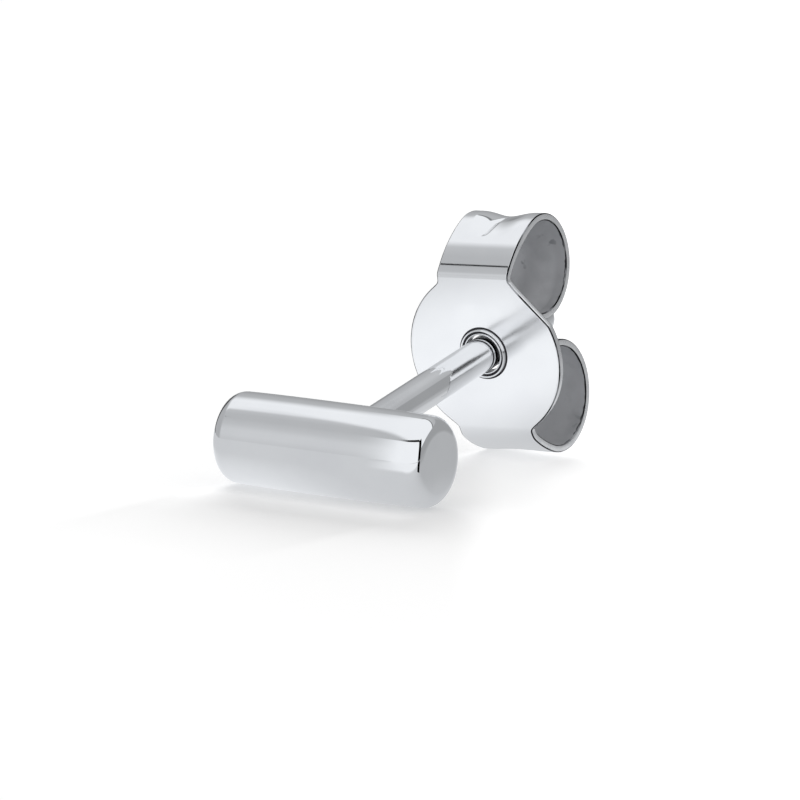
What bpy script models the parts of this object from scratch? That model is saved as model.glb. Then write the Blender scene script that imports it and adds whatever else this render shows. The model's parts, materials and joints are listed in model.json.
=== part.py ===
"""Bar stud earring with a butterfly clutch, in polished sterling silver.

The earring is drawn in its own frame: X runs along the bar, Y along the post
away from the bar, and Z across both. An empty then leans it back by the angle
at which it rests on a table, on the bar and on the clutch's lower scroll.
"""
import math

import bmesh
import bpy
from mathutils import Vector

MM = 0.001

# Bar: a short round rod with rounded rims and flat ends
BAR_LENGTH = 5.47 * MM
BAR_RADIUS = 1.06 * MM
BAR_RIM_ROUND = 0.36 * MM

# Post: soldered to the middle of the bar's back
POST_RADIUS = 0.40 * MM
POST_TIP = 9.45 * MM
POST_TIP_ROUND = 0.30 * MM
SOLDER_ROUND = 0.14 * MM
POST_FOOT = BAR_RADIUS / 2

# Clutch: where it sits on the post, and how far it is turned round the post
CLUTCH_FROM_BAR = 6.62 * MM
CLUTCH_TURN = math.radians(4.1)

# Clutch sheet: one strip of sheet metal with a round plate at its middle
SHEET = 0.17 * MM
PLATE_OFF_CENTRE = 0.035 * MM
PLATE_RADIUS = 1.975 * MM
PLATE_DROP = 0.06 * MM
PLATE_TO_ARM_SHARPNESS = 16
SHOULDER_HEIGHT = 1.72 * MM
SHOULDER_RUN = 0.93

# Hole in the plate, with a raised lip round it
POST_CLEARANCE = 0.05 * MM
HOLE_RADIUS = POST_RADIUS + POST_CLEARANCE
LIP_WIRE_RADIUS = 0.085 * MM
LIP_RING_RADIUS = HOLE_RADIUS + 0.075 * MM
HOLE_CUTTER_DEPTH = 2 * MM

# Arms: each leaves the plate at a bend, runs out in a long arc and rolls back to the post, the
# upper one a little tighter at its front. Leans are those of its outer face from upright, the
# scroll's centre is behind the plate, and left and right are its reach from the post.
SCROLL_FRONT_LEAN = math.radians(140)
SCROLL_END_LEAN = math.radians(295)
UPPER_ARM = {"bend_radius": 0.20 * MM, "bend_lean": math.radians(42.5), "run_lean": math.radians(74),
             "front_radius": 1.10 * MM, "radius": 1.249 * MM, "behind": 1.572 * MM, "height": 1.614 * MM,
             "left": 0.96 * MM, "right": 0.92 * MM}
LOWER_ARM = {"bend_radius": 0.50 * MM, "bend_lean": math.radians(46), "run_lean": math.radians(62),
             "front_radius": 1.31 * MM, "radius": 1.31 * MM, "behind": 1.46 * MM, "height": 1.48 * MM,
             "left": 0.935 * MM, "right": 1.005 * MM}

# Groove pressed along each scroll, which holds the post at the scroll's end
GROOVE_HALF_WIDTH = 0.74 * MM
GROOVE_AT_TOP = 0.10 * MM
GROOVE_AT_POST = 0.34 * MM
GROOVE_START = math.radians(-31)

# Fineness of the faceted solids
TURN_STEPS = 40
POST_STEPS = 28
ROUND_STEPS = 5
LIP_STEPS = 12
STRIP_COLUMNS = 14
PLATE_ROWS = 20
ARC_STEPS = (3, 4, 6, 14)
WELD = 0.000001


def clear_scene():
    for obj in list(bpy.data.objects):
        bpy.data.objects.remove(obj, do_unlink=True)


def new_collection(name):
    collection = bpy.data.collections.new(name)
    bpy.context.scene.collection.children.link(collection)
    return collection


def silver(name, roughness):
    material = bpy.data.materials.new(name)
    material.use_nodes = True
    shader = material.node_tree.nodes["Principled BSDF"]
    shader.inputs["Base Color"].default_value = (0.90, 0.905, 0.915, 1.0)
    shader.inputs["Metallic"].default_value = 1.0
    shader.inputs["Roughness"].default_value = roughness
    return material


def new_object(name, mesh, collection, parent=None):
    obj = bpy.data.objects.new(name, mesh)
    obj.parent = parent
    collection.objects.link(obj)
    return obj


def make_guide(obj):
    """Keep an object that only shapes another one out of the model."""
    obj.hide_render = True
    obj.display_type = 'WIRE'


def arc(centre, radius, start, end, steps):
    """Points on an arc, in degrees counted from the first axis to the second."""
    points = []
    for step in range(steps + 1):
        angle = math.radians(start + (end - start) * step / steps)
        points.append((centre[0] + radius * math.cos(angle), centre[1] + radius * math.sin(angle)))
    return points


def turned(name, profile, steps, collection, parent):
    """A solid turned round its own Z from (radius, height) points, top first."""
    mesh = bpy.data.meshes.new(name)
    mesh.from_pydata([(r, 0.0, z) for r, z in profile], [(i, i + 1) for i in range(len(profile) - 1)], [])
    obj = new_object(name, mesh, collection, parent)
    screw = obj.modifiers.new("turn", 'SCREW')
    screw.steps = steps
    screw.render_steps = steps
    screw.use_merge_vertices = True
    screw.merge_threshold = WELD
    screw.use_smooth_shade = True
    return obj


def add_boolean(obj, other, operation):
    boolean = obj.modifiers.new(operation.lower(), 'BOOLEAN')
    boolean.operation = operation
    boolean.object = other
    boolean.solver = 'EXACT'


def bar_profile():
    half = BAR_LENGTH / 2
    rim = BAR_RADIUS - BAR_RIM_ROUND
    top = arc((rim, half - BAR_RIM_ROUND), BAR_RIM_ROUND, 90, 0, ROUND_STEPS)
    bottom = arc((rim, BAR_RIM_ROUND - half), BAR_RIM_ROUND, 0, -90, ROUND_STEPS)
    return [(0.0, half)] + top + bottom + [(0.0, -half)]


def post_profile():
    shoulder = POST_RADIUS - POST_TIP_ROUND
    tip = arc((shoulder, POST_TIP - POST_TIP_ROUND), POST_TIP_ROUND, 90, 0, ROUND_STEPS)
    foot = POST_RADIUS + SOLDER_ROUND
    solder = arc((foot, BAR_RADIUS + SOLDER_ROUND), SOLDER_ROUND, 180, 270, ROUND_STEPS)
    return [(0.0, POST_TIP)] + tip + solder + [(foot, POST_FOOT), (0.0, POST_FOOT)]


def build_stud(model, guides, root):
    """The bar with its soldered post: one solid."""
    bar = turned("bar_stud", bar_profile(), TURN_STEPS, model, root)
    bar.rotation_euler = (0.0, math.radians(90), 0.0)
    post = turned("post", post_profile(), POST_STEPS, guides, root)
    post.rotation_euler = (math.radians(-90), 0.0, 0.0)
    make_guide(post)
    add_boolean(bar, post, 'UNION')
    bar.data.materials.append(silver("polished_silver", 0.06))
    return bar


def joined_arc(arc, radius, lean):
    """An arc of another radius that meets the given one where the face leans by lean."""
    behind, height, old_radius = arc
    step = radius - old_radius
    return behind + step * math.cos(lean), height - step * math.sin(lean), radius


def arm_arcs(arm):
    """Bend, long run, scroll's front and scroll, each as (arc, lean at its start, lean at its end).

    An arc is (centre's distance behind the plate, centre's height, radius). The run
    has the one radius with which they all meet smoothly.
    """
    bend_radius = arm["bend_radius"]
    bend_side, run_side = math.cos(arm["bend_lean"]), math.cos(arm["run_lean"])
    scroll = (arm["behind"], arm["height"], arm["radius"])
    front = joined_arc(scroll, arm["front_radius"], SCROLL_FRONT_LEAN)
    left_over = front[0] - front[2] * run_side - bend_radius * (1 - bend_side)
    run = joined_arc(front, left_over / (bend_side - run_side), arm["run_lean"])
    bend = joined_arc(run, bend_radius, arm["bend_lean"])
    leans = (0.0, arm["bend_lean"], arm["run_lean"], SCROLL_FRONT_LEAN, SCROLL_END_LEAN)
    return tuple(zip((bend, run, front, scroll), leans, leans[1:]))


def arm_path(arm):
    """Stations of one arm's outer face from the bend to the scroll's end.

    Each is (distance behind the plate, height from the post, lean of the face
    from upright, groove depth). Heights are positive; the side is added later.
    """
    stations = []
    for (arc, start, end), steps in zip(arm_arcs(arm), ARC_STEPS):
        behind, height, radius = arc
        for step in range(1 if stations else 0, steps + 1):
            lean = start + (end - start) * step / steps
            face = (behind - radius * math.cos(lean), height + radius * math.sin(lean))
            stations.append((*face, lean, groove_depth(lean)))
    return stations


def groove_depth(angle):
    """Depth of the pressed groove where the scroll's face leans by angle."""
    top = math.radians(90)
    start = top + GROOVE_START
    post = math.radians(270)
    if angle <= start:
        return 0.0
    if angle <= top:
        share = (angle - start) / (top - start)
        return GROOVE_AT_TOP * math.sin(share * math.pi / 2)
    share = min((angle - top) / (post - top), 1.0)
    return GROOVE_AT_TOP + (GROOVE_AT_POST - GROOVE_AT_TOP) * (1 - math.cos(share * math.pi)) / 2


def groove_shape(across):
    """Share of the groove's depth at a distance from the strip's middle line."""
    if abs(across) >= GROOVE_HALF_WIDTH:
        return 0.0
    return math.cos(across / GROOVE_HALF_WIDTH * math.pi / 2) ** 2


def arm_on_side(height):
    """The arm above or below the post."""
    return UPPER_ARM if height > 0 else LOWER_ARM


def strip_stations():
    """Stations of the whole strip from the lower scroll's end to the upper's."""
    lower = [(b, -h, -a, g) for b, h, a, g in reversed(arm_path(LOWER_ARM))]
    upper = arm_path(UPPER_ARM)
    bottom = lower[-1][1]
    top = upper[0][1]
    plate = []
    for row in range(1, PLATE_ROWS):
        share = math.sin((row / PLATE_ROWS - 0.5) * math.pi) / 2 + 0.5
        plate.append((0.0, bottom + (top - bottom) * share, 0.0, 0.0))
    return lower + plate + upper


def edges_at(station):
    """Left and right edge of the strip at a station."""
    height, lean = station[1], abs(station[2])
    arm = arm_on_side(height)
    if lean > arm["run_lean"]:
        return -arm["left"], arm["right"]
    rise = abs(height + PLATE_DROP)
    plate = math.sqrt(PLATE_RADIUS ** 2 - rise ** 2) if rise < PLATE_RADIUS else 0.0
    right = plate + PLATE_OFF_CENTRE
    if height > 0:
        right = min(right, max(0.0, arm["right"] + SHOULDER_RUN * (SHOULDER_HEIGHT - height)))
    return -wider_of(plate - PLATE_OFF_CENTRE, arm["left"]), wider_of(right, arm["right"])


def wider_of(plate, arm):
    """The wider of plate and arm, with a small fillet where they meet."""
    power = PLATE_TO_ARM_SHARPNESS
    return arm * (1 + max(0.0, plate / arm) ** power) ** (1 / power)


def station_points(station):
    """One row of points across the strip."""
    behind, height, lean, groove = station
    left, right = edges_at(station)
    middle = (left + right) / 2
    inward = Vector((0.0, math.cos(lean), -math.sin(lean)))
    points = []
    for column in range(STRIP_COLUMNS + 1):
        across = left + (right - left) * column / STRIP_COLUMNS
        face = Vector((across, behind, height))
        points.append(face + inward * groove * groove_shape(across - middle))
    return points


def strip_mesh():
    """The strip's outer face, with its normals pointing out of the scrolls."""
    shape = bmesh.new()
    rows = [[shape.verts.new(p) for p in station_points(s)] for s in strip_stations()]
    for low, high in zip(rows, rows[1:]):
        for i in range(STRIP_COLUMNS):
            face = shape.faces.new((low[i], low[i + 1], high[i + 1], high[i]))
            face.smooth = True
    mesh = bpy.data.meshes.new("butterfly_clutch")
    shape.to_mesh(mesh)
    shape.free()
    return mesh


def add_lip(guides, clutch):
    bpy.ops.mesh.primitive_torus_add(
        major_radius=LIP_RING_RADIUS, minor_radius=LIP_WIRE_RADIUS,
        major_segments=POST_STEPS, minor_segments=LIP_STEPS, rotation=(math.radians(90), 0.0, 0.0))
    return adopt_guide("hole_lip", guides, clutch)


def add_hole_cutter(guides, clutch):
    bpy.ops.mesh.primitive_cylinder_add(
        vertices=POST_STEPS, radius=HOLE_RADIUS, depth=HOLE_CUTTER_DEPTH,
        rotation=(math.radians(90), 0.0, 0.0))
    return adopt_guide("hole_cutter", guides, clutch)


def adopt_guide(name, guides, parent):
    """Name the object just added and hang it on its parent as a guide."""
    obj = bpy.context.object
    obj.name = name
    for collection in list(obj.users_collection):
        collection.objects.unlink(obj)
    guides.objects.link(obj)
    obj.parent = parent
    make_guide(obj)
    return obj


def build_clutch(model, guides, root):
    """The butterfly clutch: one pressed and rolled strip of sheet."""
    clutch = new_object("butterfly_clutch", strip_mesh(), model, root)
    clutch.location = (0.0, CLUTCH_FROM_BAR, 0.0)
    clutch.rotation_euler = (0.0, -CLUTCH_TURN, 0.0)
    sheet = clutch.modifiers.new("sheet", 'SOLIDIFY')
    sheet.thickness = SHEET
    sheet.offset = -1.0
    add_boolean(clutch, add_lip(guides, clutch), 'UNION')
    add_boolean(clutch, add_hole_cutter(guides, clutch), 'DIFFERENCE')
    clutch.data.materials.append(silver("pressed_silver_sheet", 0.10))
    return clutch


def rest_lean():
    """Angle from the table to the post when bar and lower scroll both touch it."""
    corner = LOWER_ARM["left"] * math.sin(CLUTCH_TURN)
    along = CLUTCH_FROM_BAR + LOWER_ARM["behind"]
    below = LOWER_ARM["height"] * math.cos(CLUTCH_TURN) + corner
    away = math.hypot(along, below)
    return math.atan2(below, along) + math.asin((LOWER_ARM["radius"] - BAR_RADIUS) / away)


def world_corners(objects):
    """Lowest and highest corner of what the objects' modifiers make."""
    bpy.context.view_layer.update()
    graph = bpy.context.evaluated_depsgraph_get()
    points = []
    for obj in objects:
        shaped = obj.evaluated_get(graph)
        points += [shaped.matrix_world @ v.co for v in shaped.to_mesh().vertices]
        shaped.to_mesh_clear()
    low = Vector([min(p[axis] for p in points) for axis in range(3)])
    high = Vector([max(p[axis] for p in points) for axis in range(3)])
    return low, high


def set_on_table(root, objects):
    """Put the lowest point on z = 0, under the middle of the earring's box."""
    low, high = world_corners(objects)
    root.location -= Vector(((low.x + high.x) / 2, (low.y + high.y) / 2, low.z))
    bpy.context.view_layer.update()


def main():
    clear_scene()
    model = new_collection("bar_earring")
    guides = new_collection("cutters")
    root = new_object("rest_frame", None, model)
    root.rotation_euler = (rest_lean(), 0.0, 0.0)
    stud = build_stud(model, guides, root)
    clutch = build_clutch(model, guides, root)
    set_on_table(root, [stud, clutch])


main()
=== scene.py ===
"""Looks of the bar stud earring: polished silver pieces on a white studio table.

The earring's own frame has X along the bar, Y along the post and Z across both,
and the table's frame is the one in which the earring rests.
"""

import json
import math

import bmesh
import bpy
from mathutils import Matrix, Vector


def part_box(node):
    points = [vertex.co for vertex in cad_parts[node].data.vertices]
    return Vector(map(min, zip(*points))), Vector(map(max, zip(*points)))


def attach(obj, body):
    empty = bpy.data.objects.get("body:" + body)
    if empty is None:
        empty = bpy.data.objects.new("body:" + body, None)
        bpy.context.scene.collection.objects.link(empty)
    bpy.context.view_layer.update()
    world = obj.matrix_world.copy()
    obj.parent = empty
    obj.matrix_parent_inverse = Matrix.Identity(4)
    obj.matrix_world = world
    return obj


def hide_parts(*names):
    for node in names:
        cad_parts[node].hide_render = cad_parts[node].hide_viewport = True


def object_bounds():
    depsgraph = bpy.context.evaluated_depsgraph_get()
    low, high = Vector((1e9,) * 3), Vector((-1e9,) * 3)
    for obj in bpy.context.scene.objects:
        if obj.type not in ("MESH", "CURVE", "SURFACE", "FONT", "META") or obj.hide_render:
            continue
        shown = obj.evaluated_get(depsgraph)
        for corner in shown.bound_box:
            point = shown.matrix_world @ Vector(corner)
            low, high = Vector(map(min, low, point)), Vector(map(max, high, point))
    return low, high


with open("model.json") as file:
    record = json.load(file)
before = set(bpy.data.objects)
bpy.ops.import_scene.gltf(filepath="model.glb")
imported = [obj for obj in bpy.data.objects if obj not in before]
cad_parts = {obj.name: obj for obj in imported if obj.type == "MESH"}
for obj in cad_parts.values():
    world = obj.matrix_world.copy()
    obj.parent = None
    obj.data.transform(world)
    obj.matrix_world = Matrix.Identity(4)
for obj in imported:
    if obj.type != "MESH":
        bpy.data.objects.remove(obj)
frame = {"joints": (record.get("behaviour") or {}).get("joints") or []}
cad_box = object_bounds()

MM = 0.001
WELD = 0.0001 * MM

# Bar: a short round rod with rounded rims, its ends worn a little slimmer by polishing
BAR_RADIUS = 1.06 * MM
BAR_RIM_ROUND = 0.36 * MM
BAR_CROWN = 0.012 * MM
BAR_END_WEAR = 0.008 * MM
BAR_END_WEAR_REACH = 0.45 * MM
END_FACE_DOME = 0.012 * MM
BAR_STEPS = 192
BAR_ROWS = 90
RIM_ROWS = 20
FACE_ROWS = 8

# Post: a straight wire with a rounded tip and a solder fillet at the bar
POST_RADIUS = 0.40 * MM
POST_TIP = 9.45 * MM
POST_TIP_ROUND = 0.30 * MM
SOLDER_ROUND = 0.14 * MM
POST_SUNK = 0.10 * MM
POST_STEPS = 96
POST_ROWS = 40
TIP_ROWS = 12
SOLDER_ROWS = 12

# Clutch: its place on the post and its turn round the post
CLUTCH_FROM_BAR = 6.62 * MM
CLUTCH_TURN = math.radians(4.1)

# Clutch sheet: one strip with a round plate at its middle
SHEET = 0.17 * MM
PLATE_OFF_CENTRE = 0.035 * MM
PLATE_RADIUS = 1.975 * MM
PLATE_DROP = 0.06 * MM
PLATE_TO_ARM_SHARPNESS = 16
SHOULDER_HEIGHT = 1.72 * MM
SHOULDER_RUN = 0.93

# Cut edges of the strip, with their corners eased
CUT_EDGE_ROUND = 0.025 * MM
CUT_EDGE_ANGLE = math.radians(50)
CUT_EDGE_SEGMENTS = 3

# Places of the strip's materials, counted from that of its outer face
INSIDE = 1
EDGE = 2
CORNER = 3

# Hole in the plate, in a shallow dish, with a raised lip round it that has two ridges
HOLE_RADIUS = 0.45 * MM
DISH_DEPTH = 0.05 * MM
DISH_REACH = 1.25 * MM
LIP_OUTER_RADIUS = 0.625 * MM
LIP_RIDGES = (
    {"radius": 0.560 * MM, "half_width": 0.027 * MM, "height": 0.085 * MM},
    {"radius": 0.474 * MM, "half_width": 0.024 * MM, "height": 0.070 * MM},
)
LIP_PROUD = 0.006 * MM
LIP_BACK = 0.22 * MM
# Height of the lip above which it has no painted shade; lower parts are shaded darker, fully at height 0
LIP_UNSHADED_HEIGHT = 0.035 * MM
LIP_STEPS = 128
LIP_ROWS = 48

# Arms: each leaves the plate at a bend, runs out in a long arc and rolls back to the post, the
# upper one a little tighter at its front. Leans are those of its outer face from upright, the
# scroll's centre is behind the plate, and left and right are its reach from the post.
SCROLL_FRONT_LEAN = math.radians(140)
SCROLL_END_LEAN = math.radians(295)
UPPER_ARM = {"bend_radius": 0.20 * MM, "bend_lean": math.radians(42.5), "run_lean": math.radians(74),
             "front_radius": 1.10 * MM, "radius": 1.249 * MM, "behind": 1.572 * MM, "height": 1.614 * MM,
             "left": 0.96 * MM, "right": 0.92 * MM}
LOWER_ARM = {"bend_radius": 0.50 * MM, "bend_lean": math.radians(46), "run_lean": math.radians(62),
             "front_radius": 1.31 * MM, "radius": 1.31 * MM, "behind": 1.46 * MM, "height": 1.48 * MM,
             "left": 0.935 * MM, "right": 1.005 * MM}

# Groove pressed along each scroll, from where its face leans by the start to the post
GROOVE_HALF_WIDTH = 0.74 * MM
GROOVE_AT_TOP = 0.10 * MM
GROOVE_AT_POST = 0.34 * MM
GROOVE_START = math.radians(59)
GROOVE_TOP = math.radians(90)
GROOVE_POST = math.radians(270)

# Mark of the punch where the groove starts
PUNCH_DEPTH = 0.045 * MM
PUNCH_HALF_WIDTH = 0.13 * MM
PUNCH_ACROSS = -0.16 * MM
PUNCH_SLANT = 0.42 * MM
PUNCH_START = math.radians(62)
PUNCH_RISE = math.radians(4)
PUNCH_END = math.radians(74)
PUNCH_FADE = math.radians(26)

# Fineness of the sheet; each arm has rows for its bend, its run, its scroll's front and its scroll
STRIP_COLUMNS = 48
PLATE_ROWS = 110
ARC_ROWS = (14, 40, 60, 76)

# Names of what the finishes read from the meshes: the place on the strip, and how far the lip is spared its
# painted shade
PLACE_LAYER = "place"
LIP_SHADE_LAYER = "unshaded_share"

# Camera, at the photo's angle to the earring
CAMERA_AIM = Vector((1.1216, -3.3695, 2.2033)) * MM
CAMERA_DISTANCE = 212.12 * MM
CAMERA_AZIMUTH = math.radians(30.373)
CAMERA_ELEVATION = math.radians(8.991)
CAMERA_ROLL = math.radians(2.153)
CAMERA_LENS = 427.19
CAMERA_CLIP_START = 10 * MM
SENSOR_WIDTH = 36.0


def post_direction():
    """Direction of the post on the table, from the slide that the clutch moves on."""
    return Vector(frame["joints"][0]["axis"]).normalized()


def earring_matrix():
    """From the earring's own frame to the table: the bar's middle, leaned back with the post."""
    low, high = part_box("bar_stud")
    middle = Vector(((low.x + high.x) / 2, low.y + BAR_RADIUS, low.z + BAR_RADIUS))
    post = post_direction()
    lean = math.atan2(post.z, post.y)
    return Matrix.Translation(middle) @ Matrix.Rotation(lean, 4, 'X')


def clutch_matrix():
    """From the clutch's own frame, centred on the hole at the plate's face, to the table."""
    along = Matrix.Translation((0.0, CLUTCH_FROM_BAR, 0.0))
    return earring_matrix() @ along @ Matrix.Rotation(-CLUTCH_TURN, 4, 'Y')


def new_object(name, data):
    """An object in the scene that holds the data."""
    made = bpy.data.objects.new(name, data)
    bpy.context.scene.collection.objects.link(made)
    return made


def new_piece(name, mesh, body, slot, *materials):
    """A piece that rides on a body of the earring and takes the given materials; its slot is not used."""
    piece = new_object(name, mesh)
    for material in materials:
        mesh.materials.append(material)
    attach(piece, body)
    return piece


def surface(name, rows, round_and_round):
    """A smooth mesh from rows of points, each row joined to the next by quads."""
    shape = bmesh.new()
    grid = [[shape.verts.new(point) for point in row] for row in rows]
    for low, high in zip(grid, grid[1:]):
        count = len(low)
        for i in range(count if round_and_round else count - 1):
            j = (i + 1) % count
            shape.faces.new((low[i], low[j], high[j], high[i])).smooth = True
    mesh = bpy.data.meshes.new(name)
    shape.to_mesh(mesh)
    shape.free()
    return mesh


def close_up(mesh):
    """Joins the points that lie on each other, so that the mesh is closed."""
    shape = bmesh.new()
    shape.from_mesh(mesh)
    bmesh.ops.remove_doubles(shape, verts=shape.verts, dist=WELD)
    bmesh.ops.recalc_face_normals(shape, faces=shape.faces)
    shape.to_mesh(mesh)
    shape.free()


def ring(radius, height, steps):
    """A row of points round the Y axis."""
    turn = 2 * math.pi / steps
    return [Vector((radius * math.cos(turn * i), height, radius * math.sin(turn * i))) for i in range(steps)]


def turned(name, profile, steps):
    """A closed shape turned round Y from (radius, height) points."""
    mesh = surface(name, [ring(radius, height, steps) for radius, height in profile], True)
    close_up(mesh)
    return mesh


def shares(count):
    """Even steps from 0 to 1, both ends included."""
    return [step / count for step in range(count + 1)]


def smooth_share(share):
    """Smooth step from 0 to 1."""
    share = min(1.0, max(0.0, share))
    return share * share * (3 - 2 * share)


# Bar

def bar_half_length():
    return (cad_box[1].x - cad_box[0].x) / 2


def bar_radius_at(along):
    """Radius of the bar's side: a little crowned, and worn off towards each rim."""
    half = bar_half_length() - BAR_RIM_ROUND
    crown = BAR_CROWN * (along / half) ** 2
    wear = BAR_END_WEAR * math.exp((abs(along) - half) / BAR_END_WEAR_REACH)
    return BAR_RADIUS - crown - wear


def bar_end_profile():
    """An end, from the axis over the nearly flat face and round the rim to the side."""
    points = []
    half = bar_half_length()
    side = half - BAR_RIM_ROUND
    flat = bar_radius_at(side) - BAR_RIM_ROUND
    for share in shares(FACE_ROWS)[:-1]:
        points.append((flat * share, half - END_FACE_DOME * share ** 2))
    reach = BAR_RIM_ROUND - END_FACE_DOME
    for share in shares(RIM_ROWS):
        angle = math.pi / 2 * (1 - share)
        points.append((flat + BAR_RIM_ROUND * math.cos(angle), side + reach * math.sin(angle)))
    return points


def make_bar(material):
    end = bar_end_profile()
    side = bar_half_length() - BAR_RIM_ROUND
    middle = [side * math.sin(math.pi * (share - 0.5)) for share in shares(BAR_ROWS)]
    profile = list(end[:-1])
    profile += [(bar_radius_at(along), along) for along in reversed(middle)]
    profile += [(radius, -along) for radius, along in reversed(end[:-1])]
    mesh = turned("bar", profile, BAR_STEPS)
    lay_down = Matrix.Rotation(math.radians(-90), 4, 'Z')
    mesh.transform(earring_matrix() @ lay_down)
    return new_piece("bar", mesh, "stud", "polished_silver", material)


# Post

def bar_top(across, along):
    """Height of the bar's surface over a point beside the post's axis."""
    return math.sqrt(bar_radius_at(along) ** 2 - across ** 2)


def solder_row(share):
    """A row of the solder fillet, from the post's wire at 0 to the bar's surface at 1."""
    row = []
    for i in range(POST_STEPS):
        angle = 2 * math.pi * i / POST_STEPS
        along, across = math.cos(angle), math.sin(angle)
        corner = bar_top(POST_RADIUS * across, POST_RADIUS * along)
        foot_radius = POST_RADIUS + SOLDER_ROUND
        foot = bar_top(foot_radius * across, foot_radius * along)
        keep = (1 - share) ** 2
        radius = POST_RADIUS + SOLDER_ROUND * share ** 2
        height = keep * (corner + SOLDER_ROUND) + 2 * share * (1 - share) * corner + share ** 2 * foot
        row.append(Vector((radius * along, height, radius * across)))
    return row


def tip_rows():
    """Rows of the post's rounded tip, from its end to the wire."""
    shoulder = POST_RADIUS - POST_TIP_ROUND
    rows = [ring(0.0, POST_TIP, POST_STEPS)]
    for share in shares(TIP_ROWS):
        angle = math.pi / 2 * (1 - share)
        radius = shoulder + POST_TIP_ROUND * math.cos(angle)
        rows.append(ring(radius, POST_TIP + POST_TIP_ROUND * (math.sin(angle) - 1), POST_STEPS))
    return rows


def make_post(material):
    rows = tip_rows()
    top = POST_TIP - POST_TIP_ROUND
    bottom = BAR_RADIUS + SOLDER_ROUND
    for share in shares(POST_ROWS)[1:-1]:
        rows.append(ring(POST_RADIUS, top + (bottom - top) * share, POST_STEPS))
    rows += [solder_row(share) for share in shares(SOLDER_ROWS)]
    foot = [point - Vector((0.0, POST_SUNK, 0.0)) for point in rows[-1]]
    rows += [foot, ring(0.0, BAR_RADIUS / 2, POST_STEPS)]
    mesh = surface("ear_post", rows, True)
    close_up(mesh)
    mesh.transform(earring_matrix())
    return new_piece("ear_post", mesh, "stud", "polished_silver", material)


# Clutch: the line of the strip

def joined_arc(arc, radius, lean):
    """An arc of another radius that meets the given one where the face leans by lean."""
    behind, height, old_radius = arc
    step = radius - old_radius
    return behind + step * math.cos(lean), height - step * math.sin(lean), radius


def arm_arcs(arm):
    """Bend, long run, scroll's front and scroll, each as (arc, lean at its start, lean at its end).

    An arc is (centre's distance behind the plate, centre's height, radius). The run
    has the one radius with which they all meet smoothly.
    """
    bend_radius = arm["bend_radius"]
    bend_side, run_side = math.cos(arm["bend_lean"]), math.cos(arm["run_lean"])
    scroll = (arm["behind"], arm["height"], arm["radius"])
    front = joined_arc(scroll, arm["front_radius"], SCROLL_FRONT_LEAN)
    left_over = front[0] - front[2] * run_side - bend_radius * (1 - bend_side)
    run = joined_arc(front, left_over / (bend_side - run_side), arm["run_lean"])
    bend = joined_arc(run, bend_radius, arm["bend_lean"])
    leans = (0.0, arm["bend_lean"], arm["run_lean"], SCROLL_FRONT_LEAN, SCROLL_END_LEAN)
    return tuple(zip((bend, run, front, scroll), leans, leans[1:]))


def groove_depth(lean):
    """Depth of the pressed groove where the scroll's face leans by lean."""
    if lean <= GROOVE_START:
        return 0.0
    if lean <= GROOVE_TOP:
        share = (lean - GROOVE_START) / (GROOVE_TOP - GROOVE_START)
        return GROOVE_AT_TOP * math.sin(share * math.pi / 2)
    share = min((lean - GROOVE_TOP) / (GROOVE_POST - GROOVE_TOP), 1.0)
    return GROOVE_AT_TOP + (GROOVE_AT_POST - GROOVE_AT_TOP) * (1 - math.cos(share * math.pi)) / 2


def arm_path(arm):
    """Stations of one arm's outer face from the bend to the scroll's end.

    Each is (distance behind the plate, height from the post, lean of the face
    from upright, groove depth). Heights are positive; the side is added later.
    """
    stations = []
    for (arc, start, end), rows in zip(arm_arcs(arm), ARC_ROWS):
        behind, height, radius = arc
        for share in shares(rows)[1 if stations else 0:]:
            lean = start + (end - start) * share
            face = (behind - radius * math.cos(lean), height + radius * math.sin(lean))
            stations.append((*face, lean, groove_depth(lean)))
    return stations


def strip_stations():
    """Stations of the whole strip from the lower scroll's end to the upper's."""
    lower = [(behind, -height, -lean, groove)
             for behind, height, lean, groove in reversed(arm_path(LOWER_ARM))]
    upper = arm_path(UPPER_ARM)
    bottom = lower[-1][1]
    top = upper[0][1]
    plate = []
    for share in shares(PLATE_ROWS)[1:-1]:
        closer_at_ends = (share + math.sin((share - 0.5) * math.pi) / 2 + 0.5) / 2
        plate.append((0.0, bottom + (top - bottom) * closer_at_ends, 0.0, 0.0))
    return lower + plate + upper


# Clutch: the width and the relief of the strip

def arm_on_side(height):
    """The arm above or below the post."""
    return UPPER_ARM if height > 0 else LOWER_ARM


def wider_of(plate, arm):
    """The wider of plate and arm, with a small fillet where they meet."""
    power = PLATE_TO_ARM_SHARPNESS
    return arm * (1 + max(0.0, plate / arm) ** power) ** (1 / power)


def edges_at(station):
    """Left and right edge of the strip at a station."""
    height, lean = station[1], abs(station[2])
    arm = arm_on_side(height)
    if lean > arm["run_lean"]:
        return -arm["left"], arm["right"]
    rise = abs(height + PLATE_DROP)
    plate = math.sqrt(PLATE_RADIUS ** 2 - rise ** 2) if rise < PLATE_RADIUS else 0.0
    right = plate + PLATE_OFF_CENTRE
    if height > 0:
        right = min(right, max(0.0, arm["right"] + SHOULDER_RUN * (SHOULDER_HEIGHT - height)))
    return -wider_of(plate - PLATE_OFF_CENTRE, arm["left"]), wider_of(right, arm["right"])


def groove_shape(across):
    """Share of the groove's depth at a distance from the strip's middle line."""
    if abs(across) >= GROOVE_HALF_WIDTH:
        return 0.0
    return math.cos(across / GROOVE_HALF_WIDTH * math.pi / 2) ** 2


def punch_depth(lean, across):
    """Depth of the punch's mark, which the upper arm shows where its groove starts."""
    middle = PUNCH_ACROSS + PUNCH_SLANT * (lean - PUNCH_START)
    off = abs(across - middle) / PUNCH_HALF_WIDTH
    started = smooth_share((lean - PUNCH_START) / PUNCH_RISE)
    ended = smooth_share((lean - PUNCH_END) / PUNCH_FADE)
    return PUNCH_DEPTH * started * (1 - ended) * (1 - smooth_share(off))


def dish_depth(radius):
    """How far the plate is pressed in round the hole."""
    return DISH_DEPTH * (1 - smooth_share(radius / DISH_REACH))


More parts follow.
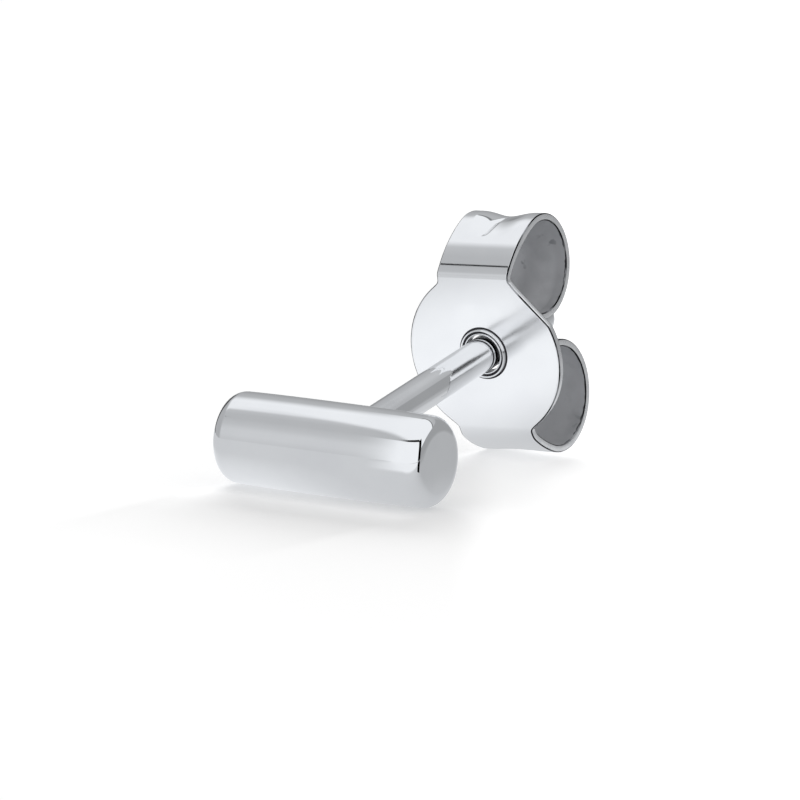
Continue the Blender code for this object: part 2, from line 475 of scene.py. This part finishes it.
def station_row(station):
    """One row of points across the strip's outer face."""
    behind, height, lean, groove = station
    left, right = edges_at(station)
    middle = (left + right) / 2
    inward = Vector((0.0, math.cos(lean), -math.sin(lean)))
    row = []
    for share in shares(STRIP_COLUMNS):
        across = left + (right - left) * share
        depth = groove * groove_shape(across - middle) + punch_depth(lean, across)
        depth += dish_depth(math.hypot(across, height)) if lean == 0 else 0.0
        row.append(Vector((across, behind, height)) + inward * depth)
    return row


def mark_places(mesh, stations):
    """Keeps each point's place on the strip: share of its width, and lean of its face."""
    places = mesh.uv_layers.new(name=PLACE_LAYER)
    for loop in mesh.loops:
        row, column = divmod(loop.vertex_index, STRIP_COLUMNS + 1)
        lean = abs(stations[row][2]) / SCROLL_END_LEAN
        places.data[loop.index].uv = (column / STRIP_COLUMNS, lean)


# Clutch: the sheet

def thicken(strip):
    """Gives the strip its thickness, behind its outer face."""
    sheet = strip.modifiers.new("sheet", 'SOLIDIFY')
    sheet.thickness = SHEET
    sheet.offset = -1.0
    sheet.material_offset = INSIDE
    sheet.material_offset_rim = EDGE


def ease_edges(strip):
    """Rounds the corners of the strip's cut edges."""
    edge = strip.modifiers.new("cut_edge", 'BEVEL')
    edge.width = CUT_EDGE_ROUND
    edge.segments = CUT_EDGE_SEGMENTS
    edge.limit_method = 'ANGLE'
    edge.angle_limit = CUT_EDGE_ANGLE
    edge.use_clamp_overlap = False
    # The eased corners take the material with the painted dark line
    edge.material = CORNER


def hole_cutter():
    """A round cutter for the hole, which the lip then lines."""
    bpy.ops.mesh.primitive_cylinder_add(vertices=LIP_STEPS, radius=(HOLE_RADIUS + LIP_OUTER_RADIUS) / 2,
                                        depth=6 * SHEET, rotation=(math.radians(90), 0.0, 0.0))
    cutter = bpy.context.object
    cutter.name = "hole_cutter"
    return cutter


def pierce(strip, cutter):
    """Cuts the hole through the strip."""
    hole = strip.modifiers.new("hole", 'BOOLEAN')
    hole.operation = 'DIFFERENCE'
    hole.solver = 'EXACT'
    hole.object = cutter


def finished_mesh(obj):
    """The mesh that an object's modifiers make, without the modifiers."""
    graph = bpy.context.evaluated_depsgraph_get()
    graph.update()
    return bpy.data.meshes.new_from_object(obj.evaluated_get(graph))


def make_sheet(*materials):
    """The strip: its outer face, thickened inwards, with its cut edges eased, and pierced."""
    stations = strip_stations()
    face = surface("strip", [station_row(station) for station in stations], False)
    mark_places(face, stations)
    for material in materials:
        face.materials.append(material)
    strip = new_object("strip", face)
    cutter = hole_cutter()
    thicken(strip)
    ease_edges(strip)
    pierce(strip, cutter)
    mesh = finished_mesh(strip)
    mesh.name = "clutch_sheet"
    bpy.data.objects.remove(cutter)
    bpy.data.objects.remove(strip)
    mesh.transform(clutch_matrix())
    return new_piece("clutch_sheet", mesh, "clutch", "sheet_silver")


# Clutch: the lip round the hole

def lip_height(radius):
    """How far the rolled lip stands in front of the plate at a distance from the post's axis."""
    height = 0.0
    for ridge in LIP_RIDGES:
        off = (radius - ridge["radius"]) / ridge["half_width"]
        if abs(off) < 1:
            height = max(height, ridge["height"] * math.sqrt(1 - off ** 2))
    return height


def lip_profile():
    """(radius, distance behind the plate) round the lip, as a closed loop."""
    points = []
    for share in shares(LIP_ROWS):
        radius = LIP_OUTER_RADIUS + (HOLE_RADIUS - LIP_OUTER_RADIUS) * share
        points.append((radius, dish_depth(radius) - lip_height(radius) - LIP_PROUD))
    return points + [(HOLE_RADIUS, LIP_BACK), (LIP_OUTER_RADIUS, LIP_BACK), points[0]]


def mark_painted_shade(mesh):
    """Keeps how far each point of the lip is spared painted shade: fully on the ridges, not at all beside
    them.
    """
    unshaded_share = mesh.attributes.new(LIP_SHADE_LAYER, 'FLOAT', 'POINT')
    for vertex in mesh.vertices:
        height = lip_height(math.hypot(vertex.co.x, vertex.co.z))
        unshaded_share.data[vertex.index].value = min(1.0, height / LIP_UNSHADED_HEIGHT)


def make_lip(material):
    mesh = turned("hole_lip", lip_profile(), LIP_STEPS)
    mark_painted_shade(mesh)
    mesh.transform(clutch_matrix())
    return new_piece("hole_lip", mesh, "clutch", "sheet_silver", material)


# Nodes

def feed(tree, socket, value):
    """Links a socket to another one, or sets it to a number, a vector or a plain colour."""
    if isinstance(value, bpy.types.NodeSocket):
        tree.links.new(value, socket)
    elif socket.type == 'RGBA':
        socket.default_value = (*value, 1.0)
    else:
        socket.default_value = value


def add_node(tree, kind, inputs=None, **settings):
    """A node with its settings and its inputs."""
    node = tree.nodes.new(kind)
    for name, value in settings.items():
        setattr(node, name, value)
    for name, value in (inputs or {}).items():
        feed(tree, node.inputs[name], value)
    return node


def maths(tree, operation, first, second=0.0):
    """A sum, a product or another result of one or two numbers."""
    return add_node(tree, "ShaderNodeMath", {0: first, 1: second}, operation=operation).outputs[0]


def scaled(tree, vector, factor):
    """A vector or colour times a number."""
    return add_node(tree, "ShaderNodeVectorMath", {0: vector, "Scale": factor}, operation='SCALE').outputs[0]


def axes_of(tree, vector):
    """The X, Y and Z of a vector."""
    return add_node(tree, "ShaderNodeSeparateXYZ", {0: vector}).outputs


def graded(tree, share, start, end):
    """Number that goes from start to end with a share."""
    return add_node(tree, "ShaderNodeMix", {"Factor": share, 2: start, 3: end}, data_type='FLOAT').outputs[0]


def mixed(tree, share, start, end):
    """Colour that goes from start to end with a share."""
    return add_node(tree, "ShaderNodeMix", {"Factor": share, 6: start, 7: end}, data_type='RGBA').outputs[2]


def soft_step(tree, value, edge, blur):
    """0 below the edge and 1 above it, with a soft change between."""
    step = add_node(tree, "ShaderNodeMapRange", {
        "Value": value, "From Min": edge - blur / 2, "From Max": edge + blur / 2},
        interpolation_type='SMOOTHSTEP')
    return step.outputs["Result"]


def stretched(tree, value, low, high):
    """Number that goes from 0 to 1 as the value goes from low to high."""
    return add_node(tree, "ShaderNodeMapRange", {
        "Value": value, "From Min": low, "From Max": high}).outputs["Result"]


def grey(tone):
    return (tone, tone, tone)


# Materials

SILVER = (0.93, 0.935, 0.945)
SILVER_DULLED = (0.89, 0.895, 0.91)
INSIDE_GREY = (0.52, 0.525, 0.54)
INSIDE_SMEARED = (0.44, 0.445, 0.46)
INSIDE_SCRATCHED = (0.31, 0.315, 0.33)
# Painted dark line along the rim of the inner face, standing in for a dark reflection
INSIDE_RIM_PAINTED_DARK = (0.06, 0.06, 0.065)
EDGE_BRIGHT = (1.0, 1.0, 1.0)
EDGE_SHEARED = (0.86, 0.865, 0.88)
# Painted grey and dark on the cut edges' eased corners, standing in for dark reflections
CORNER_PAINTED_GREY = (0.40, 0.405, 0.42)
CORNER_PAINTED_DARK = (0.01, 0.01, 0.012)
# Painted shade in the lip's hollows
LIP_PAINTED_SHADE = (0.03, 0.03, 0.033)

# Roughness, from the cleanest to the dullest spots where there are two
BAR_ROUGHNESS = (0.03, 0.07)
PLATE_ROUGHNESS = 0.16
ARM_ROUGHNESS = 0.035
SMUDGE_ROUGHNESS = 0.03
INSIDE_ROUGHNESS = 0.55
EDGE_ROUGHNESS = (0.18, 0.32)
CORNER_ROUGHNESS = 0.3
LIP_ROUGHNESS = (0.05, 0.16)

INSIDE_METALLIC = 0.25

# Where the arms' finer polish starts, as a share of the lean at the scroll's end
ARM_POLISH_FROM = 0.06
ARM_POLISH_BLUR = 0.08

# Painted dark line along the rim of the inner face, as shares of the strip's width from its middle line
RIM_FROM = 0.484
RIM_BLUR = 0.014
RIM_RAGGED_BY = 0.012

# Patterns of noise, in which the range from low to high is stretched to go from 0 to 1
BAR_SMUDGES = {"scale": 900.0, "detail": 5.0, "low": 0.40, "high": 0.75}
SHEET_SMUDGES = {"scale": 700.0, "detail": 4.0, "low": 0.40, "high": 0.75}
RIM_RAGGEDNESS = {"scale": 6000.0, "detail": 2.0, "low": 0.30, "high": 0.70}
SMEARS = {"scale": 1600.0, "detail": 6.0, "low": 0.52, "high": 0.72}
SCRATCHES = {"scale": 4200.0, "detail": 2.0, "low": 0.60, "high": 0.66}
SCRATCHED_SPOTS = {"scale": 700.0, "detail": 1.0, "low": 0.50, "high": 0.58}
SHEAR_MARKS = {"scale": 3500.0, "detail": 3.0, "low": 0.35, "high": 0.70}
# Stretches where the corners' painted dark line is darkest
DARK_LINE_STRETCHES = {"scale": 1300.0, "detail": 3.0, "low": 0.38, "high": 0.50}
LIP_WEAR = {"scale": 2500.0, "detail": 3.0, "low": 0.35, "high": 0.70}


def noise_at(tree, pattern):
    """A pattern of noise in the piece's own space."""
    place = add_node(tree, "ShaderNodeTexCoord").outputs["Object"]
    noise = add_node(tree, "ShaderNodeTexNoise", {
        "Vector": place, "Scale": pattern["scale"], "Detail": pattern["detail"]})
    return stretched(tree, noise.outputs["Fac"], pattern["low"], pattern["high"])


def place_on_strip(tree):
    """Share of the strip's width as X, and lean of its face as Y."""
    return axes_of(tree, add_node(tree, "ShaderNodeUVMap", uv_map=PLACE_LAYER).outputs["UV"])


def new_metal(name, metallic=1.0):
    """A material, its nodes and its shader."""
    material = bpy.data.materials.new(name)
    material.use_nodes = True
    tree = material.node_tree
    shader = tree.nodes["Principled BSDF"]
    shader.inputs["Metallic"].default_value = metallic
    return material, tree, shader


def polished_silver():
    """High polish, which faint smudges dull and roughen here and there."""
    material, tree, shader = new_metal("polished_silver")
    smudge = noise_at(tree, BAR_SMUDGES)
    feed(tree, shader.inputs["Base Color"], mixed(tree, smudge, SILVER, SILVER_DULLED))
    feed(tree, shader.inputs["Roughness"], graded(tree, smudge, *BAR_ROUGHNESS))
    return material


def sheet_face():
    """The strip's outer face: its plate is less even than its rolled arms."""
    material, tree, shader = new_metal("sheet_face")
    on_arm = soft_step(tree, place_on_strip(tree)["Y"], ARM_POLISH_FROM, ARM_POLISH_BLUR)
    smudge = noise_at(tree, SHEET_SMUDGES)
    clean = graded(tree, on_arm, PLATE_ROUGHNESS, ARM_ROUGHNESS)
    smudged = maths(tree, 'ADD', clean, graded(tree, smudge, 0.0, SMUDGE_ROUGHNESS))
    feed(tree, shader.inputs["Base Color"], mixed(tree, smudge, SILVER, SILVER_DULLED))
    feed(tree, shader.inputs["Roughness"], smudged)
    return material


def sheet_inside():
    """The strip's inner face: unpolished, with smears and scratches, and a painted dark line along its ragged
    rim.
    """
    material, tree, shader = new_metal("sheet_inside", INSIDE_METALLIC)
    off_middle = maths(tree, 'ABSOLUTE', maths(tree, 'SUBTRACT', place_on_strip(tree)["X"], 0.5))
    ragged = graded(tree, noise_at(tree, RIM_RAGGEDNESS), -RIM_RAGGED_BY, RIM_RAGGED_BY)
    rim = soft_step(tree, maths(tree, 'ADD', off_middle, ragged), RIM_FROM, RIM_BLUR)
    smeared = mixed(tree, noise_at(tree, SMEARS), INSIDE_GREY, INSIDE_SMEARED)
    scratch = maths(tree, 'MULTIPLY', noise_at(tree, SCRATCHES), noise_at(tree, SCRATCHED_SPOTS))
    scratched = mixed(tree, scratch, smeared, INSIDE_SCRATCHED)
    feed(tree, shader.inputs["Base Color"], mixed(tree, rim, scratched, INSIDE_RIM_PAINTED_DARK))
    feed(tree, shader.inputs["Roughness"], INSIDE_ROUGHNESS)
    return material


def cut_edge():
    """The strip's cut edges: bright, with the shear's marks."""
    material, tree, shader = new_metal("cut_edge")
    shear = noise_at(tree, SHEAR_MARKS)
    feed(tree, shader.inputs["Base Color"], mixed(tree, shear, EDGE_BRIGHT, EDGE_SHEARED))
    feed(tree, shader.inputs["Roughness"], graded(tree, shear, *EDGE_ROUGHNESS))
    return material


def painted_edge_line():
    """The eased corners of the cut edges, painted grey with a darker painted line in stretches."""
    material, tree, shader = new_metal("painted_edge_line")
    dark_stretch = noise_at(tree, DARK_LINE_STRETCHES)
    feed(tree, shader.inputs["Base Color"], mixed(tree, dark_stretch, CORNER_PAINTED_GREY, CORNER_PAINTED_DARK))
    feed(tree, shader.inputs["Roughness"], CORNER_ROUGHNESS)
    return material


def lip_metal():
    """The lip round the hole: silver on its ridges, with painted shade between them and at their feet."""
    material, tree, shader = new_metal("lip_metal")
    unshaded_share = add_node(tree, "ShaderNodeAttribute", attribute_name=LIP_SHADE_LAYER).outputs["Fac"]
    feed(tree, shader.inputs["Base Color"], mixed(tree, unshaded_share, LIP_PAINTED_SHADE, SILVER))
    feed(tree, shader.inputs["Roughness"], graded(tree, noise_at(tree, LIP_WEAR), *LIP_ROUGHNESS))
    return material


# Studio

# Tones that polished metal mirrors, as (rise, tone). The rise is in degrees round the bar's
# axis: 0 is the front horizon, 90 straight up and 180 the back.
SKY_TONES = (
    (-180, 0.36), (-60, 0.60), (-12, 0.64), (-4, 0.58), (3, 0.61), (14, 0.65), (27, 0.65), (33, 0.62),
    (40, 0.57), (48, 0.54), (56, 0.51), (68, 0.51), (78, 0.56), (90, 0.64), (110, 0.66), (133, 0.51),
    (150, 0.45), (165, 0.38), (180, 0.36),
)
SKY_TINT = (0.955, 0.975, 1.0)
SKY_LIGHT = 0.60
BACKDROP_LIGHT = 1.15

# The long soft box overhead; its front edge hangs lower on the right
SOFTBOX_FRONT = 83
SOFTBOX_FRONT_BLUR = 11
SOFTBOX_SKEW = 600
SOFTBOX_SKEW_FROM = -0.514
SOFTBOX_BACK = 124
SOFTBOX_BACK_BLUR = 24
SOFTBOX_TONE = 0.94

# Where the rays off the bar's middle go to the side, as the sideways part of their direction
BAR_SIDE = -0.5

# Cards, walls and gaps round the table. Each edge (x, y, z, limit) keeps the directions whose sum
# of x, y and z times the edge's own is over its limit, and blur softens it; later ones lie on top.
CARDS = (
    {"name": "left end of the box overhead", "tone": 0.92, "blur": 0.13,
     "edges": ((-1, 0, 0, 0.50), (0, 1, 0, -0.11), (0, -1, 0, -0.3), (0, 0, 1, 0.3))},
    {"name": "wall beyond the box's left end", "tone": 0.46, "blur": 0.17,
     "edges": ((-1, 0, 0, 0.69), (0, 0, 1, -0.09))},
    {"name": "gap behind on the left", "tone": 0.09, "blur": 0.14,
     "edges": ((-1, 0, 0, 0.63), (0, 1, 0, 0.40), (0, 0, -1, -0.42))},
    {"name": "gap before the left card", "tone": 0.0, "blur": 0.02,
     "edges": ((-1, 0, 0, 0.562), (1, 0, 0, -0.596), (0, 1.60, 1, 0), (0, -1.71, -1, 0))},
    {"name": "front card", "tone": 0.95, "blur": 0.035,
     "edges": ((1, 0, 0, -0.478), (-0.1, -1, 0, 0), (0, 0.05, 1, -0.06), (0.074, -0.524, -1, -0.458))},
    {"name": "gap over the front card", "tone": 0.0, "blur": 0.02,
     "edges": ((1, 0, 0, -0.458), (-1, 0, 0, -0.85), (-0.074, 0.524, 1, 0.458), (0.104, -0.576, -1, -0.519))},
    {"name": "right end of the box overhead", "tone": 0.94, "blur": 0.03,
     "edges": ((1, 0, 0, -0.49), (0, 1, 0, -0.2), (0, -1, 0, -0.61), (0, 0, 1, 0.3))},
    {"name": "gap behind the box overhead", "tone": 0.22, "blur": 0.02,
     "edges": ((1, 0, 0, -0.46), (0, 1, 0, 0.60), (0, -1, 0, -0.64), (0, 0, 1, 0.5))},
    {"name": "grey wall behind on the right", "tone": 0.36, "blur": 0.015,
     "edges": ((0.1, 1, 0, 0), (1, 0, 0, 0), (0, 0.4, -1, -0.27))},
    {"name": "gap beside the front card", "tone": 0.0, "blur": 0.03,
     "edges": ((0, 1, 0.10, -0.165), (0, -1, -0.27, -0.125), (1, 0, 0, 0.5), (0, 0, -1, -0.66))},
)

# A dark patch that is seen only where one polished face mirrors another
CAMERA_MIRRORED = {"name": "camera", "tone": 0.0, "blur": 0.02,
                   "edges": ((1, 0, 0, 0.40), (-1, 0, 0, -0.57), (0, 0, 1, 0.0), (0, 0, -1, -0.32),
                             (0, -1, 0, 0))}
MORE_THAN_ONE_BOUNCE = 1.5

# Table
TABLE_REACH = 0.6
TABLE_GLOW = 0.22
TABLE_WHITE = 0.9
TABLE_MIRRORED = 0.65
BRIGHT_SPOT = Vector((-2.5, -1.3, 0.0)) * MM
BRIGHT_SPOT_RADIUS = 3.6 * MM
BRIGHT_SPOT_BLUR = 3.6 * MM
BRIGHT_SPOT_TONE = 1.0

# Parts of the table that are brighter or darker in the metal, bounded as the cards are, in mm
TABLE_PATCHES = (
    {"name": "lit front", "tone": 0.93, "blur": 1.4,
     "edges": ((1, -0.53, 0, 4.6), (0, -1, 0, 7.6), (-1, 0, 0, -60))},
    {"name": "shaded right and back", "tone": 0.47, "blur": 4.0,
     "edges": ((1, 0, 0, 3.5), (0, 1, 0, -5))},
    {"name": "far right", "tone": 0.40, "blur": 10.0,
     "edges": ((1, 0, 0, 14), (0, 1, 0, -5))},
    {"name": "gap beside the front card", "tone": 0.0, "blur": 0.3,
     "edges": ((0.155, 1, 0, -4.70), (0.15, -1, 0, 5.52), (1, 0, 0, 6.1), (-1, 0, 0, -60))},
    {"name": "gap behind on the left", "tone": 0.02, "blur": 4.0,
     "edges": ((-1, -0.65, 0, 6), (0, 1, 0, 7))},
)

# Light on the table from the right
SIDE_GLOW = {"more": 0.17, "blur": 1.4, "edges": ((0.863, 0.506, 0, 1.1),)}

# The bar's faint mirror image in the table, as (distance in front of the bar in mm, share of the
# table's tone), and its ends. The shares are over 1 in places, so they are kept halved in a ramp.
BAR_SHEEN = (
    (0.0, 0.97), (0.9, 1.03), (1.4, 1.10), (2.0, 1.02),
    (2.8, 0.95), (4.2, 0.93), (6.0, 0.96), (9.0, 1.0),
)
BAR_SHEEN_MOST = 2.0
BAR_SHEEN_ENDS = {"blur": 0.5, "edges": ((1, 0, 0, -2.75), (-1, 0, 0, -2.75), (0, -1, 0, 4.0))}

# Light from behind, whose soft shadow falls towards the camera
BACK_LIGHT_POWER = 2.6
BACK_LIGHT_SPREAD = math.radians(40)
BACK_LIGHT_RISE = math.radians(20)


def inside(tree, place, card):
    """1 inside a card's edges and 0 outside, soft at the edges."""
    mask = 1.0
    for x, y, z, limit in card["edges"]:
        reach = add_node(tree, "ShaderNodeVectorMath", {0: place, 1: (x, y, z)}, operation='DOT_PRODUCT')
        mask = maths(tree, 'MULTIPLY', mask, soft_step(tree, reach.outputs["Value"], limit, card["blur"]))
    return mask


def laid_over(tree, tone, place, cards):
    """A tone with cards laid over it, each inside its own edges."""
    for card in cards:
        tone = graded(tree, inside(tree, place, card), tone, card["tone"])
    return tone


def rise_and_side(tree, direction):
    """Rise of a direction round the bar's axis, in degrees, and its sideways part."""
    axes = axes_of(tree, direction)
    front = maths(tree, 'MULTIPLY', axes["Y"], -1.0)
    rise = maths(tree, 'DEGREES', maths(tree, 'ARCTAN2', axes["Z"], front))
    return rise, axes["X"]


def tone_ramp(tree, share, stops_wanted):
    """Tone that follows (share, tone) stops."""
    ramp = add_node(tree, "ShaderNodeValToRGB", {"Fac": share})
    stops = ramp.color_ramp.elements
    stops.remove(stops[-1])
    for index, (place, tone) in enumerate(stops_wanted):
        stop = stops[0] if index == 0 else stops.new(place)
        stop.position = place
        stop.color = (*grey(tone), 1.0)
    return ramp.outputs["Color"]


def sky_ramp(tree, rise):
    """Tone of the sky by its rise, from -180 to 180 degrees."""
    stops = [((degrees + 180) / 360, tone) for degrees, tone in SKY_TONES]
    return tone_ramp(tree, stretched(tree, rise, -180.0, 180.0), stops)


def softbox(tree, rise, side):
    """1 inside the long box overhead and 0 outside, soft at its front and back."""
    off_middle = maths(tree, 'SUBTRACT', maths(tree, 'MAXIMUM', side, SOFTBOX_SKEW_FROM), BAR_SIDE)
    skewed = maths(tree, 'ADD', rise, maths(tree, 'MULTIPLY', off_middle, SOFTBOX_SKEW))
    front = soft_step(tree, skewed, SOFTBOX_FRONT, SOFTBOX_FRONT_BLUR)
    back = maths(tree, 'SUBTRACT', 1.0, soft_step(tree, rise, SOFTBOX_BACK, SOFTBOX_BACK_BLUR))
    return maths(tree, 'MULTIPLY', front, back)


def mirrored_camera(tree, direction):
    """1 in the direction of the camera, after more than one bounce."""
    bounces = add_node(tree, "ShaderNodeLightPath").outputs["Glossy Depth"]
    mirrored_twice = maths(tree, 'GREATER_THAN', bounces, MORE_THAN_ONE_BOUNCE)
    return maths(tree, 'MULTIPLY', inside(tree, direction, CAMERA_MIRRORED), mirrored_twice)


def studio_tone(tree):
    """Brightness of the studio in the direction looked in."""
    direction = add_node(tree, "ShaderNodeTexCoord").outputs["Generated"]
    rise, side = rise_and_side(tree, direction)
    tone = graded(tree, softbox(tree, rise, side), sky_ramp(tree, rise), SOFTBOX_TONE)
    tone = laid_over(tree, tone, direction, CARDS)
    return graded(tree, mirrored_camera(tree, direction), tone, CAMERA_MIRRORED["tone"])


def make_world():
    """The studio: cards in the metal, soft light on the table and a white backdrop."""
    world = bpy.data.worlds.new("studio")
    bpy.context.scene.world = world
    world.use_nodes = True
    tree = world.node_tree
    mirrored = scaled(tree, SKY_TINT, studio_tone(tree))
    path = add_node(tree, "ShaderNodeLightPath")
    lit = mixed(tree, path.outputs["Is Glossy Ray"], grey(SKY_LIGHT), mirrored)
    shown = mixed(tree, path.outputs["Is Camera Ray"], lit, grey(BACKDROP_LIGHT))
    feed(tree, tree.nodes["Background"].inputs["Color"], shown)


def mirrored_table_tone(tree, place, in_mm):
    """Brightness of the table as the metal mirrors it, with a bright spot beside the post."""
    away = add_node(tree, "ShaderNodeVectorMath", {0: place, 1: BRIGHT_SPOT}, operation='DISTANCE')
    outside = soft_step(tree, away.outputs["Value"], BRIGHT_SPOT_RADIUS, BRIGHT_SPOT_BLUR)
    tone = graded(tree, outside, BRIGHT_SPOT_TONE, TABLE_MIRRORED)
    return laid_over(tree, tone, in_mm, TABLE_PATCHES)


def bar_sheen(tree, in_mm):
    """Share of the table's tone that is left where the bar is faintly mirrored in it."""
    bar_line = earring_matrix().translation.y / MM
    before = maths(tree, 'SUBTRACT', bar_line, axes_of(tree, in_mm)["Y"])
    reach = BAR_SHEEN[-1][0]
    stops = [(distance / reach, share / BAR_SHEEN_MOST) for distance, share in BAR_SHEEN]
    kept = tone_ramp(tree, maths(tree, 'DIVIDE', before, reach), stops)
    sheen = maths(tree, 'MULTIPLY', kept, BAR_SHEEN_MOST)
    return graded(tree, inside(tree, in_mm, BAR_SHEEN_ENDS), 1.0, sheen)


def table_seen(tree, in_mm):
    """The white table as it is seen: lit softly, and glowing a little."""
    sheen = bar_sheen(tree, in_mm)
    side = maths(tree, 'MULTIPLY', inside(tree, in_mm, SIDE_GLOW), SIDE_GLOW["more"])
    strength = maths(tree, 'MULTIPLY', maths(tree, 'ADD', side, TABLE_GLOW), sheen)
    glow = add_node(tree, "ShaderNodeEmission", {"Color": grey(1.0), "Strength": strength})
    white = scaled(tree, grey(1.0), maths(tree, 'MULTIPLY', sheen, TABLE_WHITE))
    matt = add_node(tree, "ShaderNodeBsdfDiffuse", {"Color": white})
    return add_node(tree, "ShaderNodeAddShader", {0: glow.outputs[0], 1: matt.outputs[0]}).outputs[0]


def table_material():
    """White table, and grey in the metal."""
    material = bpy.data.materials.new("white_table")
    material.use_nodes = True
    tree = material.node_tree
    tree.nodes.remove(tree.nodes["Principled BSDF"])
    place = add_node(tree, "ShaderNodeTexCoord").outputs["Object"]
    in_mm = scaled(tree, place, 1 / MM)
    tone = scaled(tree, SKY_TINT, mirrored_table_tone(tree, place, in_mm))
    mirrored = add_node(tree, "ShaderNodeEmission", {"Color": tone, "Strength": 1.0})
    path = add_node(tree, "ShaderNodeLightPath")
    mix = add_node(tree, "ShaderNodeMixShader", {
        0: path.outputs["Is Camera Ray"], 1: mirrored.outputs[0], 2: table_seen(tree, in_mm)})
    feed(tree, tree.nodes["Material Output"].inputs["Surface"], mix.outputs[0])
    return material


def make_table():
    mesh = bpy.data.meshes.new("table")
    corners = [(x * TABLE_REACH, y * TABLE_REACH, 0.0) for x, y in ((-1, -1), (1, -1), (1, 1), (-1, 1))]
    mesh.from_pydata(corners, [], [(0, 1, 2, 3)])
    mesh.materials.append(table_material())
    table = new_object("table", mesh)


def make_back_light():
    light = bpy.data.lights.new("back_softbox", 'SUN')
    light.energy = BACK_LIGHT_POWER
    light.angle = BACK_LIGHT_SPREAD
    lamp = new_object("back_softbox", light)
    towards = Vector((math.sin(CAMERA_AZIMUTH), -math.cos(CAMERA_AZIMUTH), -math.tan(BACK_LIGHT_RISE)))
    lamp.rotation_mode = 'QUATERNION'
    lamp.rotation_quaternion = towards.to_track_quat('-Z', 'Y')
    lamp.visible_glossy = False


def make_camera():
    camera = new_object("camera", bpy.data.cameras.new("camera"))
    camera.data.lens = CAMERA_LENS
    camera.data.sensor_width = SENSOR_WIDTH
    camera.data.clip_start = CAMERA_CLIP_START
    flat = math.cos(CAMERA_ELEVATION)
    back = Vector((math.sin(CAMERA_AZIMUTH) * flat, -math.cos(CAMERA_AZIMUTH) * flat,
                   math.sin(CAMERA_ELEVATION)))
    level = Vector((math.cos(CAMERA_AZIMUTH), math.sin(CAMERA_AZIMUTH), 0.0))
    upright = back.cross(level)
    right = level * math.cos(CAMERA_ROLL) + upright * math.sin(CAMERA_ROLL)
    up = back.cross(right)
    turn = Matrix((right, up, back)).transposed().to_4x4()
    camera.matrix_world = Matrix.Translation(CAMERA_AIM + back * CAMERA_DISTANCE) @ turn
    bpy.context.scene.camera = camera


def main():
    bpy.context.scene.view_settings.view_transform = 'Standard'
    polished = polished_silver()
    bar = make_bar(polished)
    post = make_post(polished)
    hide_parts("bar_stud")
    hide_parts("bar_stud")
    sheet = make_sheet(sheet_face(), sheet_inside(), cut_edge(), painted_edge_line())
    lip = make_lip(lip_metal())
    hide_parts("butterfly_clutch")
    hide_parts("butterfly_clutch")
    make_table()
    make_world()
    make_back_light()
    make_camera()


main()
